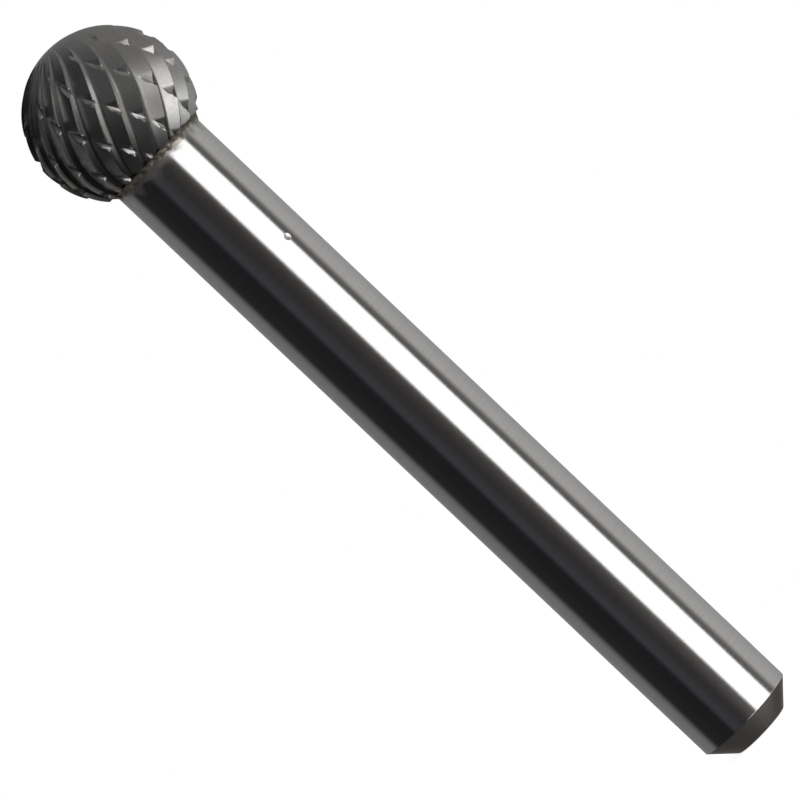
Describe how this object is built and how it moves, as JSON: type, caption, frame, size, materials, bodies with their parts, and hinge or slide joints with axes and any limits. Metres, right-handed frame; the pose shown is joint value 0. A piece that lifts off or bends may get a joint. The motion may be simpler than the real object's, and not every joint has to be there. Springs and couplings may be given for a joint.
{
  "type": "carbide burr",
  "caption": "Ball-nosed rotary burr: a double-cut tungsten carbide ball head brazed to a ground steel shank, for a die grinder or flexible shaft.",
  "frame": {"origin": "centre of the flat end of the shank, on which the tool stands", "axes": "+Z along the tool's axis, from the flat end of the shank to the nose of the head; X and Y are square to it, with one notch crossing near -Y"},
  "size_m": [0.0094, 0.0094, 0.053],
  "materials": {
    "ground_steel": "polished",
    "braze_alloy": "matte",
    "tungsten_carbide": "satin"
  },
  "bodies": {
    "root": {"shank": "ground_steel", "braze_joint": "braze_alloy", "cutting_head": "tungsten_carbide"}
  },
  "joints": []
}
